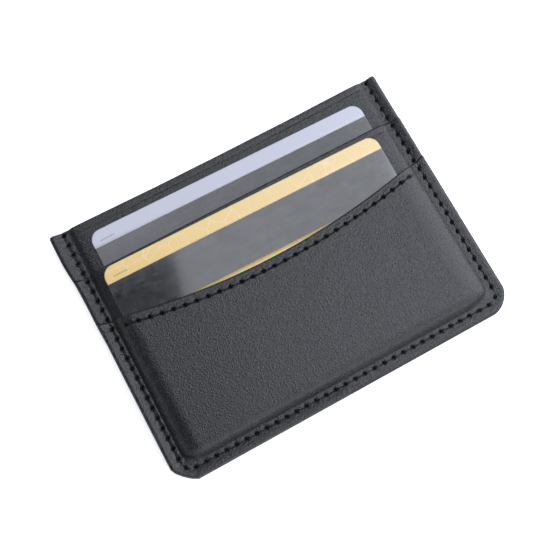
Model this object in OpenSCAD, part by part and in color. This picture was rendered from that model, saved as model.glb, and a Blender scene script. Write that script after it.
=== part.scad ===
// Flat leather card holder, lying on its rear with the front facing up.
// Two mirrored halves are sewn together round three sides. Each half is a body
// panel, a slot panel and a pocket, all lined, so it has two card slots, and the
// space between the halves is a third pocket that opens at the top edge.
// X runs along the width, Y runs up to the mouths and Z is the thickness.
// The origin is under the middle of the holder, on the surface that it lies on.

/* [Holder] */
// Width from side edge to side edge
holder_w = 103; // [98:0.5:124]
// Height from the bottom edge to the top edge
holder_h = 77.4; // [76:0.1:93]
// Radius of the two bottom corners
corner_r = 5.5; // [4.5:0.5:8]
// Radius of the two top corners
top_corner_r = 1; // [0.5:0.25:1.5]
// How far the top edge dips in the middle
top_dip = 0.6; // [0.3:0.1:1.5]

/* [Leather and lining] */
// Thickness of the leather over the pockets
leather_t = 0.8; // [0.6:0.05:1.1]
// Thickness of the leather where it is pared down in the margins
margin_leather_t = 0.45; // [0.35:0.05:0.6]
// Thickness of the lining fabric
lining_t = 0.15; // [0.1:0.05:0.25]
// How far the lining stops short of each mouth
lining_setback = 0.5; // [0.4:0.05:0.6]

/* [Pockets] */
// Room in a slot that holds a card
card_gap = 0.9; // [0.85:0.05:1.3]
// Room in an empty slot
empty_gap = 0.2; // [0.1:0.05:0.6]
// Room in the centre pocket between the two halves
centre_gap = 0.4; // [0.2:0.1:1.2]
// Width of the flat sewn margin
margin_w = 3.8; // [3.6:0.1:4.2]
// Width of the slope from the margin up to the pockets
slope_w = 2.8; // [2:0.1:3]
// How far the front pocket's mouth dips between its ends
mouth_dip = 5.9; // [3:0.1:9]

/* [Seams] */
// Distance from the edge to the seam that closes the holder
seam_inset = 3; // [2.6:0.1:3.2]
// Distance from the top edge to the closing seam's first hole
seam_end = 1.1; // [1:0.05:1.3]
// Stitch length of the closing seam
seam_pitch = 3; // [2.4:0.1:4]
// Distance from a pocket's mouth to its hem stitches
hem_w = 2.5; // [2:0.1:3.5]
// Stitch length of the hems and of the stop seams
hem_pitch = 3.3; // [2.6:0.1:4.5]
// Width of the sewing thread as it lies on the leather
thread_w = 0.5; // [0.35:0.05:0.6]
// Depth of the groove that the stitches lie in
thread_d = 0.25; // [0.15:0.05:0.3]
// Radius of the needle holes
needle_r = 0.35; // [0.3:0.05:0.4]

/* [Cards] */
// Width of a standard card
card_w = 85.6; // [85:0.1:86]
// Height of a standard card
card_h = 53.98; // [53:0.1:55]
// Thickness of a standard card
card_t = 0.76; // [0.7:0.02:0.8]
// Corner radius of a standard card
card_r = 3.18; // [2.8:0.1:3.5]
// How many degrees the cards lean to the right
card_lean = 0.75; // [0:0.05:1]
// How far the silver card sits to the right of the middle
silver_shift = 0.3; // [-0.5:0.1:0.5]
// How far the gold card sits to the left of the middle
gold_shift = 1; // [-1:0.1:1]
// Height of the magnetic stripe on a card
stripe_h = 12.5; // [9:0.1:14]
// Distance from a card's top edge to its magnetic stripe
stripe_drop = 4.75; // [4:0.05:6]

/* [Hidden] */
$fn = 48;

leather_black = [0.22, 0.23, 0.25];
lining_black = [0.12, 0.12, 0.13];
thread_black = [0.05, 0.05, 0.055];
silver = [0.80, 0.80, 0.86];
gold = [0.90, 0.80, 0.58];
stripe_grey = [0.36, 0.37, 0.39];
paper_white = [0.93, 0.93, 0.90];
contact_gold = [0.83, 0.70, 0.38];

// Heights above the bottom edge, all tied to the card in the pocket.
// A leaning card reaches this much below its own middle.
lean_reach = (card_w / 2 - card_r) * sin(card_lean);
field_low = margin_w + slope_w;
gold_top = field_low + lean_reach + card_h;
pocket_mouth = gold_top - 18.7;
slot_mouth = gold_top + 1.3;
silver_top = slot_mouth + 10;
stop_high = silver_top - card_h - lean_reach;
stop_low = stop_high - 2.1;
stop_seam = stop_low - 1.5;

// Half widths of the raised field and of the slope's foot
field_x = holder_w / 2 - margin_w - slope_w;
foot_x = holder_w / 2 - margin_w;

// Radii of the two big arcs, from their dips over the seam and over the edge
seam_x = holder_w / 2 - seam_inset;
mouth_r = (seam_x * seam_x + mouth_dip * mouth_dip) / (2 * mouth_dip);
top_r = (holder_w * holder_w / 4 + top_dip * top_dip) / (2 * top_dip);
arc_fn = 720;

// Undersides of the layers of one half over the pockets, from the parting
// plane between the halves outwards. gap is the room in each of its slots.
function body_lining_z(gap) = centre_gap / 2;
function body_z(gap) = body_lining_z(gap) + lining_t;
function slot_lining_z(gap) = body_z(gap) + leather_t + gap;
function slot_z(gap) = slot_lining_z(gap) + lining_t;
function pocket_lining_z(gap) = slot_z(gap) + leather_t + gap;
function pocket_z(gap) = pocket_lining_z(gap) + lining_t;
function half_t(gap) = pocket_z(gap) + leather_t;

// The same in the margins, where the layers lie on each other.
// Layer 0 is the body panel with its lining, 1 the slot panel, 2 the pocket.
layer_margin_t = lining_t + margin_leather_t;
function margin_lining_z(layer) = layer * layer_margin_t;
function margin_z(layer) = layer * layer_margin_t + lining_t;

parting_z = half_t(empty_gap);
below = 2;
above = 20;

// The closing seam: down the left side, along the bottom and up the right side
seam_corner_r = corner_r - seam_inset;
seam_start = holder_h - seam_end;
seam_side = seam_start - seam_inset - seam_corner_r;
seam_arc = seam_corner_r * PI / 2;
seam_base = 2 * (seam_x - seam_corner_r);
seam_length = 2 * seam_side + 2 * seam_arc + seam_base;
seam_count = round(seam_length / seam_pitch);

function on_corner(side, angle) = [
    side * (seam_x - seam_corner_r) + seam_corner_r * cos(angle),
    seam_inset + seam_corner_r + seam_corner_r * sin(angle)
];
function seam_point(s) =
    s <= seam_side ? [-seam_x, seam_start - s]
    : s <= seam_side + seam_arc ? on_corner(-1, 180 + 90 * (s - seam_side) / seam_arc)
    : s <= seam_side + seam_arc + seam_base ?
        [-seam_x + seam_corner_r + s - seam_side - seam_arc, seam_inset]
    : s <= seam_side + 2 * seam_arc + seam_base ?
        on_corner(1, 270 + 90 * (s - seam_side - seam_arc - seam_base) / seam_arc)
    : [seam_x, seam_start - (seam_length - s)];
seam_points = [for (i = [0:seam_count]) seam_point(seam_length * i / seam_count)];

// Top of the stack of margins at a point
function mouth_y(x) = pocket_mouth + mouth_r - sqrt(mouth_r * mouth_r - x * x);
function layers_at(p) = p.y > slot_mouth ? 1 : p.y > mouth_y(p.x) ? 2 : 3;
seam_levels = [for (p = seam_points) layers_at(p) * layer_margin_t];

// Hem stitches follow the mouth's arc; stop stitches run straight across
hem_r = mouth_r + hem_w;
hem_reach = asin((field_x - 0.6) / hem_r);
hem_count = round(2 * hem_reach / 360 * 2 * PI * hem_r / hem_pitch);
hem_points = [for (i = [0:hem_count])
    let (angle = hem_reach * (2 * i / hem_count - 1))
    [hem_r * sin(angle), pocket_mouth + mouth_r - hem_r * cos(angle)]];
stop_reach = field_x - 2;
stop_count = round(2 * stop_reach / hem_pitch);
stop_points = [for (i = [0:stop_count]) [stop_reach * (2 * i / stop_count - 1), stop_seam]];
function level_all(points, z) = [for (p = points) z];

// Moves a half from its place on the parting plane into the holder
module front_half() {
    translate([0, -holder_h / 2, parting_z])
        children();
}
module rear_half() {
    front_half()
        mirror([0, 0, 1])
            children();
}

// Outline of the holder, with its bottom edge on the X axis
module outline() {
    translate([-holder_w / 2, corner_r])
        square([holder_w, holder_h - corner_r - top_corner_r]);
    translate([-holder_w / 2 + corner_r, 0])
        square([holder_w - 2 * corner_r, corner_r + 1]);
    translate([-holder_w / 2 + top_corner_r, holder_h - top_corner_r - 1])
        square([holder_w - 2 * top_corner_r, top_corner_r + 1]);
    for (side = [-1, 1]) {
        translate([side * (holder_w / 2 - corner_r), corner_r])
            circle(r = corner_r);
        translate([side * (holder_w / 2 - top_corner_r), holder_h - top_corner_r])
            circle(r = top_corner_r);
    }
}

// All that lies beyond a mouth: past an arc with its lowest point at y, or,
// with no radius, past a straight line at y
module beyond(y, r) {
    if (r > 0)
        translate([0, y + r, -below])
            cylinder(r = r, h = above + below, $fn = arc_fn);
    else
        translate([-holder_w, y, -below])
            cube([2 * holder_w, holder_h, above + below]);
}

// Everything under a surface that is flat at margin z in the margins and rises
// over the slopes to field z. step is its z below the stop seam.
module under_surface(margin, field, step, depth) {
    side = holder_w / 2 + 1;
    intersection() {
        translate([0, holder_h + 1, 0])
            rotate([90, 0, 0])
                linear_extrude(height = holder_h + 2)
                    polygon([
                        [-side, -depth], [side, -depth], [side, margin],
                        [foot_x, margin], [field_x, field],
                        [-field_x, field], [-foot_x, margin], [-side, margin]
                    ]);
        translate([-side, 0, 0])
            rotate([90, 0, 90])
                linear_extrude(height = 2 * side)
                    polygon(concat(
                        [[-1, margin], [-1, -depth], [holder_h + 1, -depth],
                         [holder_h + 1, field]],
                        step == field ? [] : [[stop_high, field], [stop_low, step]],
                        [[field_low, step], [margin_w, margin]]
                    ));
    }
}

// A sheet with the holder's outline. margin, field and step are the heights of
// its underside; t_margin and t are its thickness in the margins and elsewhere.
module sheet(margin, field, step, t_margin, t, y, r) {
    difference() {
        intersection() {
            translate([0, 0, -1])
                linear_extrude(height = above)
                    outline();
            under_surface(margin + t_margin, field + t, step + t, 1);
        }
        under_surface(margin, field, step, below);
        beyond(y, r);
    }
}

// Needle holes through a whole half, at the points of a seam
module needle_holes(points) {
    for (p = points)
        translate([p.x, p.y, -1])
            cylinder(r = needle_r, h = above);
}

// One straight stitch from p to q with its top face at z
module stitch(p, q, z, depth) {
    translate([p.x, p.y, z - depth])
        rotate([0, 0, atan2(q.y - p.y, q.x - p.x)])
            translate([0, -thread_w / 2, 0])
                cube([norm(q - p), thread_w, depth]);
}

// A seam's outer thread: a stitch between each two holes, on the higher of the
// two levels that it joins, and a leg down each hole to root z
module needle_thread(points, levels, root, depth) {
    last = len(points) - 1;
    for (i = [0:last - 1])
        stitch(points[i], points[i + 1], max(levels[i], levels[i + 1]), depth);
    for (i = [0:last]) {
        top = max(levels[max(i - 1, 0)], levels[i], levels[min(i + 1, last)]);
        translate([points[i].x, points[i].y, root])
            cylinder(r = needle_r, h = top - root);
    }
}

// A seam's inner thread, sunk into the layer whose inner face is at z
module bobbin_thread(points, z, root, depth) {
    last = len(points) - 1;
    for (i = [0:last - 1])
        stitch(points[i], points[i + 1], z + depth, depth);
    for (p = points)
        translate([p.x, p.y, z])
            cylinder(r = needle_r, h = root - z);
}

// The threads of one half. The two threads of a hem meet in the leather, and
// those of a stop seam meet between the slot lining and the body panel.
module edge_thread() {
    needle_thread(seam_points, seam_levels, 0, thread_d);
}
module mouth_needle(gap) {
    needle_thread(hem_points, level_all(hem_points, half_t(gap)),
                  pocket_z(gap) + thread_d, thread_d);
}
module mouth_bobbin(gap) {
    bobbin_thread(hem_points, pocket_lining_z(gap), pocket_z(gap) + thread_d, lining_t);
}
stop_face = body_z(0) + leather_t;
module stop_needle() {
    needle_thread(stop_points, level_all(stop_points, stop_face + lining_t + leather_t),
                  stop_face, thread_d);
}
module stop_bobbin() {
    bobbin_thread(stop_points, body_z(0), stop_face, lining_t);
}

// The sheets of one half
module body_lining() {
    difference() {
        sheet(margin_lining_z(0), body_lining_z(0), body_lining_z(0), lining_t, lining_t,
              holder_h - top_dip - lining_setback, top_r);
        needle_holes(seam_points);
    }
}
module body_panel() {
    difference() {
        sheet(margin_z(0), body_z(0), body_z(0), margin_leather_t, leather_t,
              holder_h - top_dip, top_r);
        needle_holes(seam_points);
        edge_thread();
        stop_bobbin();
    }
}
module slot_lining(gap) {
    difference() {
        sheet(margin_lining_z(1), slot_lining_z(gap), stop_face, lining_t, lining_t,
              slot_mouth - lining_setback, 0);
        needle_holes(seam_points);
        needle_holes(stop_points);
    }
}
module slot_panel(gap) {
    difference() {
        sheet(margin_z(1), slot_z(gap), stop_face + lining_t, margin_leather_t, leather_t,
              slot_mouth, 0);
        needle_holes(seam_points);
        edge_thread();
        stop_needle();
    }
}
module pocket_lining(gap) {
    difference() {
        sheet(margin_lining_z(2), pocket_lining_z(gap), pocket_lining_z(gap),
              lining_t, lining_t, pocket_mouth - lining_setback, mouth_r);
        needle_holes(seam_points);
        mouth_bobbin(gap);
    }
}
module pocket(gap) {
    difference() {
        sheet(margin_z(2), pocket_z(gap), pocket_z(gap), margin_leather_t, leather_t,
              pocket_mouth, mouth_r);
        needle_holes(hem_points);
        needle_holes(seam_points);
        edge_thread();
        mouth_needle(gap);
    }
}

// Puts a card, drawn with the middle of its top edge at the origin, in a slot
module in_slot(x, y, floor_z) {
    translate([x, y - holder_h / 2, parting_z + floor_z + (card_gap - card_t) / 2])
        rotate([0, 0, -card_lean])
            children();
}
module in_silver_slot() {
    in_slot(silver_shift, silver_top, body_z(0) + leather_t)
        children();
}
module in_gold_slot() {
    in_slot(-gold_shift, gold_top, slot_z(card_gap) + leather_t)
        children();
}

// What is let into a card's two faces
inlay_t = 0.1;
signature_w = 62;
signature_h = 9;
signature_drop = stripe_drop + stripe_h + 3.5;
chip_w = 12.6;
chip_h = 11.4;
chip_side = 9.6;
chip_drop = 18.3;
module stripe() {
    translate([-card_w / 2, -stripe_drop - stripe_h, card_t - inlay_t])
        cube([card_w, stripe_h, inlay_t]);
}
module signature_panel() {
    translate([-card_w / 2 + 6, -signature_drop - signature_h, card_t - inlay_t])
        cube([signature_w, signature_h, inlay_t]);
}
module chip() {
    translate([card_w / 2 - chip_side - chip_w, -chip_drop - chip_h, 0])
        cube([chip_w, chip_h, inlay_t]);
}
module card() {
    difference() {
        linear_extrude(height = card_t) {
            translate([-card_w / 2 + card_r, -card_h])
                square([card_w - 2 * card_r, card_h]);
            translate([-card_w / 2, -card_h + card_r])
                square([card_w, card_h - 2 * card_r]);
            for (x = [-1, 1], y = [-card_r, -card_h + card_r])
                translate([x * (card_w / 2 - card_r), y])
                    circle(r = card_r);
        }
        stripe();
        signature_panel();
        chip();
    }
}

// Front half
module front_body_lining() {
    color(lining_black)
        front_half()
            body_lining();
}
module front_body_panel() {
    color(leather_black)
        front_half()
            body_panel();
}
module front_slot_lining() {
    color(lining_black)
        front_half()
            slot_lining(card_gap);
}
module front_slot_panel() {
    color(leather_black)
        front_half()
            slot_panel(card_gap);
}
module front_pocket_lining() {
    color(lining_black)
        front_half()
            pocket_lining(card_gap);
}
module front_pocket() {
    color(leather_black)
        front_half()
            pocket(card_gap);
}

// Rear half
module rear_body_lining() {
    color(lining_black)
        rear_half()
            body_lining();
}
module rear_body_panel() {
    color(leather_black)
        rear_half()
            body_panel();
}
module rear_slot_lining() {
    color(lining_black)
        rear_half()
            slot_lining(empty_gap);
}
module rear_slot_panel() {
    color(leather_black)
        rear_half()
            slot_panel(empty_gap);
}
module rear_pocket_lining() {
    color(lining_black)
        rear_half()
            pocket_lining(empty_gap);
}
module rear_pocket() {
    color(leather_black)
        rear_half()
            pocket(empty_gap);
}

// Threads
module edge_seam_front_thread() {
    color(thread_black)
        front_half()
            edge_thread();
}
module edge_seam_rear_thread() {
    color(thread_black)
        rear_half()
            edge_thread();
}
module front_mouth_needle_thread() {
    color(thread_black)
        front_half()
            mouth_needle(card_gap);
}
module front_mouth_bobbin_thread() {
    color(thread_black)
        front_half()
            mouth_bobbin(card_gap);
}
module rear_mouth_needle_thread() {
    color(thread_black)
        rear_half()
            mouth_needle(empty_gap);
}
module rear_mouth_bobbin_thread() {
    color(thread_black)
        rear_half()
            mouth_bobbin(empty_gap);
}
module front_stop_needle_thread() {
    color(thread_black)
        front_half()
            stop_needle();
}
module front_stop_bobbin_thread() {
    color(thread_black)
        front_half()
            stop_bobbin();
}
module rear_stop_needle_thread() {
    color(thread_black)
        rear_half()
            stop_needle();
}
module rear_stop_bobbin_thread() {
    color(thread_black)
        rear_half()
            stop_bobbin();
}

// Cards
module silver_card() {
    color(silver)
        in_silver_slot()
            card();
}
module silver_card_stripe() {
    color(stripe_grey)
        in_silver_slot()
            stripe();
}
module silver_card_signature() {
    color(paper_white)
        in_silver_slot()
            signature_panel();
}
module silver_card_chip() {
    color(contact_gold)
        in_silver_slot()
            chip();
}
module gold_card() {
    color(gold)
        in_gold_slot()
            card();
}
module gold_card_stripe() {
    color(stripe_grey)
        in_gold_slot()
            stripe();
}
module gold_card_signature() {
    color(paper_white)
        in_gold_slot()
            signature_panel();
}
module gold_card_chip() {
    color(contact_gold)
        in_gold_slot()
            chip();
}

front_body_lining();
front_body_panel();
front_slot_lining();
front_slot_panel();
front_pocket_lining();
front_pocket();
rear_body_lining();
rear_body_panel();
rear_slot_lining();
rear_slot_panel();
rear_pocket_lining();
rear_pocket();
edge_seam_front_thread();
edge_seam_rear_thread();
front_mouth_needle_thread();
front_mouth_bobbin_thread();
rear_mouth_needle_thread();
rear_mouth_bobbin_thread();
front_stop_needle_thread();
front_stop_bobbin_thread();
rear_stop_needle_thread();
rear_stop_bobbin_thread();
silver_card();
silver_card_stripe();
silver_card_signature();
silver_card_chip();
gold_card();
gold_card_stripe();
gold_card_signature();
gold_card_chip();
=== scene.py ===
import math

import bpy
import numpy as np
from mathutils import Matrix, Vector


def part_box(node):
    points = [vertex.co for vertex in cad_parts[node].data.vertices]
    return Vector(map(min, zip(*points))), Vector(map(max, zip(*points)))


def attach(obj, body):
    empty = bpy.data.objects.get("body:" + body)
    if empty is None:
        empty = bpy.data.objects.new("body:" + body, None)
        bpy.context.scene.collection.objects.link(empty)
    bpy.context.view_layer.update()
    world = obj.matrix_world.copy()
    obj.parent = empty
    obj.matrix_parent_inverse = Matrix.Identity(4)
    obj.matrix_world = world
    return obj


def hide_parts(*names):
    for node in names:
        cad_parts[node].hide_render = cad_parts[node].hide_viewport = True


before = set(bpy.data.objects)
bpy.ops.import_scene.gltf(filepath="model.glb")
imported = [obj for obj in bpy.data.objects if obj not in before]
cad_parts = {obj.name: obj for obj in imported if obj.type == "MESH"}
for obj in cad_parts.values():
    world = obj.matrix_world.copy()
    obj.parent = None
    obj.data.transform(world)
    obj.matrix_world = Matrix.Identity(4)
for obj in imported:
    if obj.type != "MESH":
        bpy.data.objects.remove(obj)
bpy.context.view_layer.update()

# ---------------------------------------------------------------------------
# Body linings: two sheets of black plain-woven fabric, back to back inside the
# centre pocket. Each is glued to its body panel and caught in the closing seam.
# Sizes are in millimetres; y is the height above the holder's bottom edge and
# z the distance out of the parting plane between the two halves.
# ---------------------------------------------------------------------------
MM = 0.001
LINING_T = 0.15
LINING_SLACK = 0.01
CORNER_R = 5.5
TOP_CORNER_R = 1.0
TOP_DIP = 0.6
LEFT_FLARE = ((0.15, -1, 1), (0.2, 45, 3), (0.75, 58, 12))
LEFT_SPREAD_FROM, LEFT_SPREAD_OVER = 46.5, 5.0
CORNER_CUTS = (1.0, 0.55)
RIGHT_SPREAD = 0.5
RIGHT_SPREAD_FROM, RIGHT_SPREAD_OVER = 41.5, 6.5
LOW_SPREAD = 0.3
LOW_SPREAD_BELOW, LOW_SPREAD_OVER = 8.5, 5.5
EDGE_TUCK_W = 0.9
CORNER_CUT_W = 4.0
HALVES = {"front": 1, "rear": -1}


def box_mm(node):
    low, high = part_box(node)
    return np.array(low) / MM, np.array(high) / MM


HALF_W = box_mm("front_body_panel")[1][0]
BASE_Y = box_mm("front_body_panel")[0][1]
HOLDER_H = -2 * BASE_Y
PARTING_Z = box_mm("front_body_lining")[0][2]


def reach(node):
    """A sheet's nearest and furthest distance from the parting plane."""
    low, high = box_mm(node)
    return sorted((abs(low[2] - PARTING_Z), abs(high[2] - PARTING_Z)))


def smooth(t):
    t = np.clip(t, 0, 1)
    return t * t * (3 - 2 * t)


def bump(t):
    return np.exp(-t * t)


def lines(*stretches):
    """Grid lines through stretches of (start, end, spacing)."""
    found = []
    for start, end, spacing in stretches:
        count = max(1, round((end - start) / spacing))
        found.append(np.linspace(start, end, count + 1))
    merged = np.sort(np.concatenate(found))
    return merged[np.concatenate([[True], np.diff(merged) > 0.02])]


def both_edges(offsets):
    """Column places from their distances in from the left edge, mirrored to the right."""
    left = -HALF_W + offsets
    return np.unique(np.round(np.concatenate([left, -left]), 4))


def half_width(y):
    low = np.clip(CORNER_R - y, 0, CORNER_R)
    high = np.clip(y - HOLDER_H + TOP_CORNER_R, 0, TOP_CORNER_R)
    bottom_cut = CORNER_R - np.sqrt(CORNER_R**2 - low**2)
    top_cut = TOP_CORNER_R - np.sqrt(TOP_CORNER_R**2 - high**2)
    return HALF_W - bottom_cut - top_cut


def rim(x, y):
    """Distance in from the side and bottom edges, and the direction out over them."""
    across = np.abs(x) - HALF_W + CORNER_R
    down = CORNER_R - y
    in_corner = (across > 0) & (down > 0)
    gap = np.maximum(np.hypot(across, down), 1e-6)
    by_side = HALF_W - np.abs(x) < y
    distance = np.where(in_corner, CORNER_R - gap, np.minimum(HALF_W - np.abs(x), y))
    out_x = np.where(in_corner, across / gap, by_side) * np.sign(x)
    out_y = -np.where(in_corner, down / gap, ~by_side)
    return distance, out_x, out_y


def lay_out(cols, rows, mouth):
    """Fits a grid into the holder's outline, with its last row on the mouth."""
    u, v = np.meshgrid(cols, rows)
    bend = smooth((v - 8) / (rows[-1] - 14))
    y = v + (mouth(u) - rows[-1]) * bend
    x = u * half_width(y) / HALF_W
    y = v + (mouth(x) - rows[-1]) * bend
    return x, y


def tucked(x, y, amount):
    """Draws the outline in by amount, and spreads the pressed margins outwards."""
    distance, out_x, out_y = rim(x, y)
    inward = amount * np.clip(1 - distance / EDGE_TUCK_W, 0, 1) ** 2
    cut = np.where(x < 0, *CORNER_CUTS)
    inward = inward + cut * np.abs(2 * out_x * out_y) * np.clip(1 - distance / CORNER_CUT_W, 0, 1)
    flare = sum(amount * smooth((y - start) / over) for amount, start, over in LEFT_FLARE)
    left = flare * smooth((-x - LEFT_SPREAD_FROM) / LEFT_SPREAD_OVER)
    right = RIGHT_SPREAD * smooth((x - RIGHT_SPREAD_FROM) / RIGHT_SPREAD_OVER)
    drop = LOW_SPREAD * smooth((LOW_SPREAD_BELOW - y) / LOW_SPREAD_OVER)
    return x - out_x * inward - left + right, y - out_y * inward - drop


def show(name, data):
    shown = bpy.data.objects.new(name, data)
    bpy.context.scene.collection.objects.link(shown)
    return shown


def mesh_object(name, points, faces, material):
    mesh = bpy.data.meshes.new(name)
    mesh.from_pydata(points.tolist(), [], faces)
    mesh.polygons.foreach_set("use_smooth", [True] * len(mesh.polygons))
    mesh.materials.append(material)
    mesh.validate()
    return show(name, mesh)


def shell_faces(n_rows, n_cols, kept_rows, kept_cols, flip):
    """Faces of a closed shell: a fine top grid, a coarser underside and the walls."""
    start = n_rows * n_cols
    wide = len(kept_cols)

    def top(i, j):
        return i * n_cols + j

    def under(a, b):
        return start + a * wide + b

    faces = [
        [top(i, j), top(i, j + 1), top(i + 1, j + 1), top(i + 1, j)]
        for i in range(n_rows - 1)
        for j in range(n_cols - 1)
    ]
    faces += [
        [under(a, b), under(a + 1, b), under(a + 1, b + 1), under(a, b + 1)]
        for a in range(len(kept_rows) - 1)
        for b in range(wide - 1)
    ]
    last_a, last_b = len(kept_rows) - 1, wide - 1
    for b in range(last_b):
        span = range(kept_cols[b + 1], kept_cols[b] - 1, -1)
        faces.append([under(0, b), under(0, b + 1)] + [top(0, j) for j in span])
        faces.append(
            [under(last_a, b + 1), under(last_a, b)]
            + [top(n_rows - 1, j) for j in reversed(span)]
        )
    for a in range(last_a):
        span = range(kept_rows[a + 1], kept_rows[a] - 1, -1)
        faces.append([under(a, last_b), under(a + 1, last_b)] + [top(i, n_cols - 1) for i in span])
        faces.append([under(a + 1, 0), under(a, 0)] + [top(i, 0) for i in reversed(span)])
    return [face[::-1] for face in faces] if flip else faces


def sheet_piece(name, side, cols, rows, mouth, top, under, tuck, coarse, material, marks=()):
    """A closed sheet between two height functions, in the holder's outline."""
    x, y = lay_out(cols, rows, mouth)
    kept_rows = np.unique(np.append(np.arange(0, len(rows), coarse), len(rows) - 1))
    kept_cols = np.unique(np.append(np.arange(0, len(cols), coarse), len(cols) - 1))
    x_low, y_low = x[np.ix_(kept_rows, kept_cols)], y[np.ix_(kept_rows, kept_cols)]
    parts = []
    for px, py, pz, amount in ((x, y, top(x, y), tuck[0]), (x_low, y_low, under(x_low, y_low), tuck[1])):
        qx, qy = tucked(px, py, amount)
        parts.append(np.stack([qx, qy + BASE_Y, PARTING_Z + side * pz], axis=-1).reshape(-1, 3))
    points = np.concatenate(parts) * MM
    faces = shell_faces(len(rows), len(cols), kept_rows, kept_cols, side < 0)
    piece = mesh_object(name, points, faces, material)
    for mark, value in marks:
        attribute = piece.data.attributes.new(mark, "FLOAT", "POINT")
        values = np.concatenate([value(x, y).ravel(), value(x_low, y_low).ravel()])
        attribute.data.foreach_set("value", values.astype(np.float32))
    return piece


def add_node(tree, kind, settings=None, sockets=None):
    """A node with its settings, and then the values or links of its sockets."""
    node = tree.nodes.new(kind)
    for key, value in (settings or {}).items():
        setattr(node, key, value)
    for key, value in (sockets or {}).items():
        if isinstance(value, bpy.types.NodeSocket):
            tree.links.new(value, node.inputs[key])
        else:
            node.inputs[key].default_value = value
    return node


class Wire:
    """A shader output that can be used in arithmetic."""

    def __init__(self, finish, socket):
        self.finish = finish
        self.socket = socket

    def math(self, operation, *values):
        return self.finish.add("ShaderNodeMath", {"operation": operation}, dict(enumerate(values)))

    def __add__(self, other):
        return self.math("ADD", self, other)

    def __radd__(self, other):
        return self.math("ADD", other, self)

    def __sub__(self, other):
        return self.math("SUBTRACT", self, other)

    def __rsub__(self, other):
        return self.math("SUBTRACT", other, self)

    def __mul__(self, other):
        return self.math("MULTIPLY", self, other)

    def __rmul__(self, other):
        return self.math("MULTIPLY", other, self)

    def __truediv__(self, other):
        return self.math("DIVIDE", self, other)

    def __pow__(self, other):
        return self.math("POWER", self, other)

    def sine(self):
        return self.math("SINE", self)

    def clamped(self):
        return self.math("MINIMUM", self.math("MAXIMUM", self, 0.0), 1.0)

    def above(self, limit):
        return self.math("GREATER_THAN", self, limit)

    def below(self, limit):
        return self.math("LESS_THAN", self, limit)


class Finish:
    """One material and its node tree."""

    def __init__(self, name):
        self.material = bpy.data.materials.new(name)
        self.material.use_nodes = True
        self.tree = self.material.node_tree
        self.tree.nodes.clear()

    def add(self, kind, settings=None, sockets=None, output=0):
        given = {key: getattr(value, "socket", value) for key, value in (sockets or {}).items()}
        node = add_node(self.tree, kind, settings, given)
        return Wire(self, node.outputs[output]) if node.outputs else None

    def place(self):
        return self.add("ShaderNodeTexCoord", output="Object")

    def axes(self):
        """The three object coordinates in millimetres."""
        split = self.add("ShaderNodeSeparateXYZ", sockets={0: self.place()})
        outputs = split.socket.node.outputs
        return [Wire(self, outputs[i]) * (1 / MM) for i in range(3)]

    def noise(self, size_mm, detail=3.0, roughness=0.5, stretch=(1, 1, 1)):
        spread = self.add(
            "ShaderNodeVectorMath", {"operation": "MULTIPLY"}, {0: self.place(), 1: stretch}
        )
        return self.add(
            "ShaderNodeTexNoise",
            sockets={
                "Vector": spread,
                "Scale": 1 / (size_mm * MM),
                "Detail": detail,
                "Roughness": roughness,
            },
        )

    def cells(self, size_mm, feature, wander_mm=0.0):
        """Cells of about size_mm, whose borders wander by about wander_mm."""
        place = self.place()
        if wander_mm:
            drift = self.add(
                "ShaderNodeTexNoise", sockets={"Vector": place, "Scale": 0.6 / (size_mm * MM)}, output=1
            )
            shift = self.add(
                "ShaderNodeVectorMath",
                {"operation": "MULTIPLY_ADD"},
                {0: drift, 1: (wander_mm * MM,) * 3, 2: place},
            )
            place = shift
        return self.add(
            "ShaderNodeTexVoronoi",
            {"feature": feature},
            {"Vector": place, "Scale": 1 / (size_mm * MM)},
        )

    def mark(self, name):
        return self.add("ShaderNodeAttribute", {"attribute_name": name}, output="Fac")

    def blend(self, factor, first, second):
        """A colour between two colours."""
        shades = [shade if isinstance(shade, Wire) else (*shade, 1) for shade in (first, second)]
        return self.add(
            "ShaderNodeMix", {"data_type": "RGBA"}, {0: factor, 6: shades[0], 7: shades[1]}, output=2
        )

    def bumps(self, height, depth_mm, strength=1.0):
        return self.add(
            "ShaderNodeBump", sockets={"Height": height, "Distance": depth_mm * MM, "Strength": strength}
        )

    def surface(self, **sockets):
        names = {key.replace("_", " "): value for key, value in sockets.items()}
        shader = self.add("ShaderNodeBsdfPrincipled", sockets=names)
        self.add("ShaderNodeOutputMaterial", sockets={"Surface": shader})
        return self.material


def woven_lining():
    """Black fabric: warp and weft threads a quarter of a millimetre apart."""
    finish = Finish("woven_lining")
    x, y, _ = finish.axes()
    turn = 2 * math.pi / 0.5
    warp = (x * turn).sine()
    weft = (y * turn).sine()
    over = (warp * weft) * 0.5 + 0.5
    fuzz = finish.noise(0.4, 2.0)
    tone = over * 0.6 + fuzz * 0.4
    return finish.surface(
        Base_Color=finish.blend(tone, (0.006, 0.006, 0.007), (0.022, 0.022, 0.025)),
        Roughness=0.75 + fuzz * 0.2,
        Sheen_Weight=0.25,
        Normal=finish.bumps(over, 0.05, 0.8),
    )


LINING = woven_lining()
LINING_SETBACK = 0.5


def top_edge(x):
    return HOLDER_H - TOP_DIP + TOP_DIP * (x / HALF_W) ** 2


SEAM_INSET = 3.0
FOOT_INSET = 1.2
CREST_IN = 41.5
CLIMB_POWER = 2.2


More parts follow.
